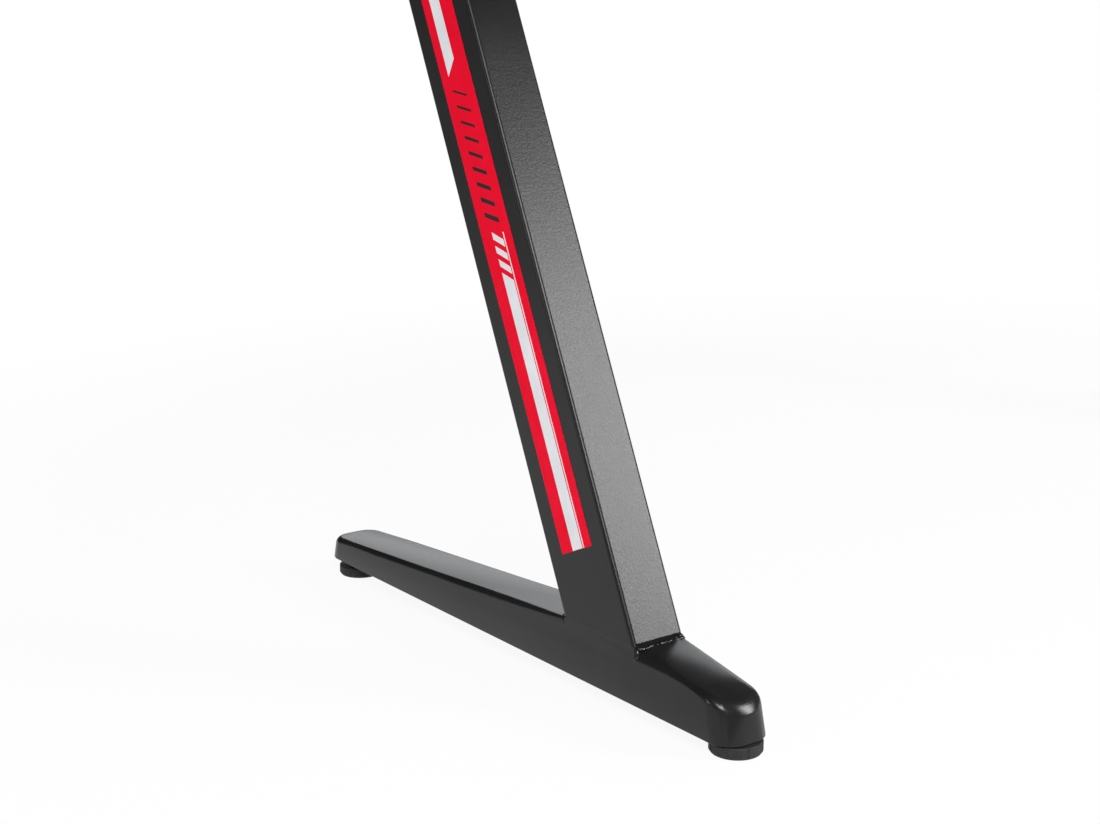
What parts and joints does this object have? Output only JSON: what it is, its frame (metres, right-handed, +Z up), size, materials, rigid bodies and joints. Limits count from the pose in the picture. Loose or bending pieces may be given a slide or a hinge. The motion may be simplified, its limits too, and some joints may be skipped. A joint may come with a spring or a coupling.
{
  "type": "gaming desk",
  "caption": "Gaming desk on Z-shaped black steel side frames with striped red leg films, tapered pressed feet and screw-adjusted levelling pads.",
  "frame": {"origin": "on the floor under the middle of the tabletop", "axes": "+X along the desk's width, to the right of a person sitting at it; +Y to the rear; +Z up"},
  "size_m": [1.4, 0.6, 0.75],
  "materials": {
    "black_steel": "satin black powder coat",
    "black_weld": "powder-coated weld bead",
    "red_film": "printed vinyl film, red with pale stripes",
    "black_laminate": "black laminate on particle board",
    "black_edging": "matt black edge band",
    "black_plastic": "matt moulded plastic",
    "black_pad": "matt black nylon with moulded grooves",
    "zinc_steel": "bright zinc plate"
  },
  "bodies": {
    "frame": {"tabletop": "black_laminate", "tabletop_edge_band": "black_edging", "tabletop_screws": "zinc_steel", "crossbar_bolts": "zinc_steel", "crossbar_washers": "zinc_steel", "crossbar_weld_nuts": "zinc_steel", "leveller_weld_nuts": "zinc_steel", "front_crossbar": "black_steel", "rear_crossbar": "black_steel", "front_crossbar_plates": "black_steel", "rear_crossbar_plates": "black_steel", "left_leg": "black_steel", "left_foot": "black_steel", "left_weld_beads": "black_weld", "left_leg_film": "red_film", "left_top_bar": "black_steel", "left_top_bar_caps": "black_plastic", "right_leg": "black_steel", "right_foot": "black_steel", "right_weld_beads": "black_weld", "right_leg_film": "red_film", "right_top_bar": "black_steel", "right_top_bar_caps": "black_plastic", "left_front_leveller_plate": "black_steel", "left_rear_leveller_plate": "black_steel", "right_front_leveller_plate": "black_steel", "right_rear_leveller_plate": "black_steel"},
    "left_front_stem": {"left_front_leveller_stem": "zinc_steel"},
    "left_front_pad": {"left_front_leveller_pad": "black_pad"},
    "left_rear_stem": {"left_rear_leveller_stem": "zinc_steel"},
    "left_rear_pad": {"left_rear_leveller_pad": "black_pad"},
    "right_front_stem": {"right_front_leveller_stem": "zinc_steel"},
    "right_front_pad": {"right_front_leveller_pad": "black_pad"},
    "right_rear_stem": {"right_rear_leveller_stem": "zinc_steel"},
    "right_rear_pad": {"right_rear_leveller_pad": "black_pad"}
  },
  "joints": [
    {"name": "left_front_rise", "type": "slide", "parent": "frame", "child": "left_front_stem", "axis": [0, 0, -1], "range_m": [0, 0.0075]},
    {"name": "left_front_turn", "type": "hinge", "parent": "left_front_stem", "child": "left_front_pad", "pos_m": [-0.63, -0.2673, 0], "axis": [0, 0, -1], "range_deg": [0, 2160]},
    {"name": "left_rear_rise", "type": "slide", "parent": "frame", "child": "left_rear_stem", "axis": [0, 0, -1], "range_m": [0, 0.0075]},
    {"name": "left_rear_turn", "type": "hinge", "parent": "left_rear_stem", "child": "left_rear_pad", "pos_m": [-0.63, 0.2626, 0], "axis": [0, 0, -1], "range_deg": [0, 2160]},
    {"name": "right_front_rise", "type": "slide", "parent": "frame", "child": "right_front_stem", "axis": [0, 0, -1], "range_m": [0, 0.0075]},
    {"name": "right_front_turn", "type": "hinge", "parent": "right_front_stem", "child": "right_front_pad", "pos_m": [0.63, -0.2673, 0], "axis": [0, 0, -1], "range_deg": [0, 2160]},
    {"name": "right_rear_rise", "type": "slide", "parent": "frame", "child": "right_rear_stem", "axis": [0, 0, -1], "range_m": [0, 0.0075]},
    {"name": "right_rear_turn", "type": "hinge", "parent": "right_rear_stem", "child": "right_rear_pad", "pos_m": [0.63, 0.2626, 0], "axis": [0, 0, -1], "range_deg": [0, 2160]}
  ],
  "couplings": [
    {"joint": "left_front_turn", "follows": "left_front_rise", "rad_per_m": 5026.5},
    {"joint": "left_rear_turn", "follows": "left_rear_rise", "rad_per_m": 5026.5},
    {"joint": "right_front_turn", "follows": "right_front_rise", "rad_per_m": 5026.5},
    {"joint": "right_rear_turn", "follows": "right_rear_rise", "rad_per_m": 5026.5}
  ]
}
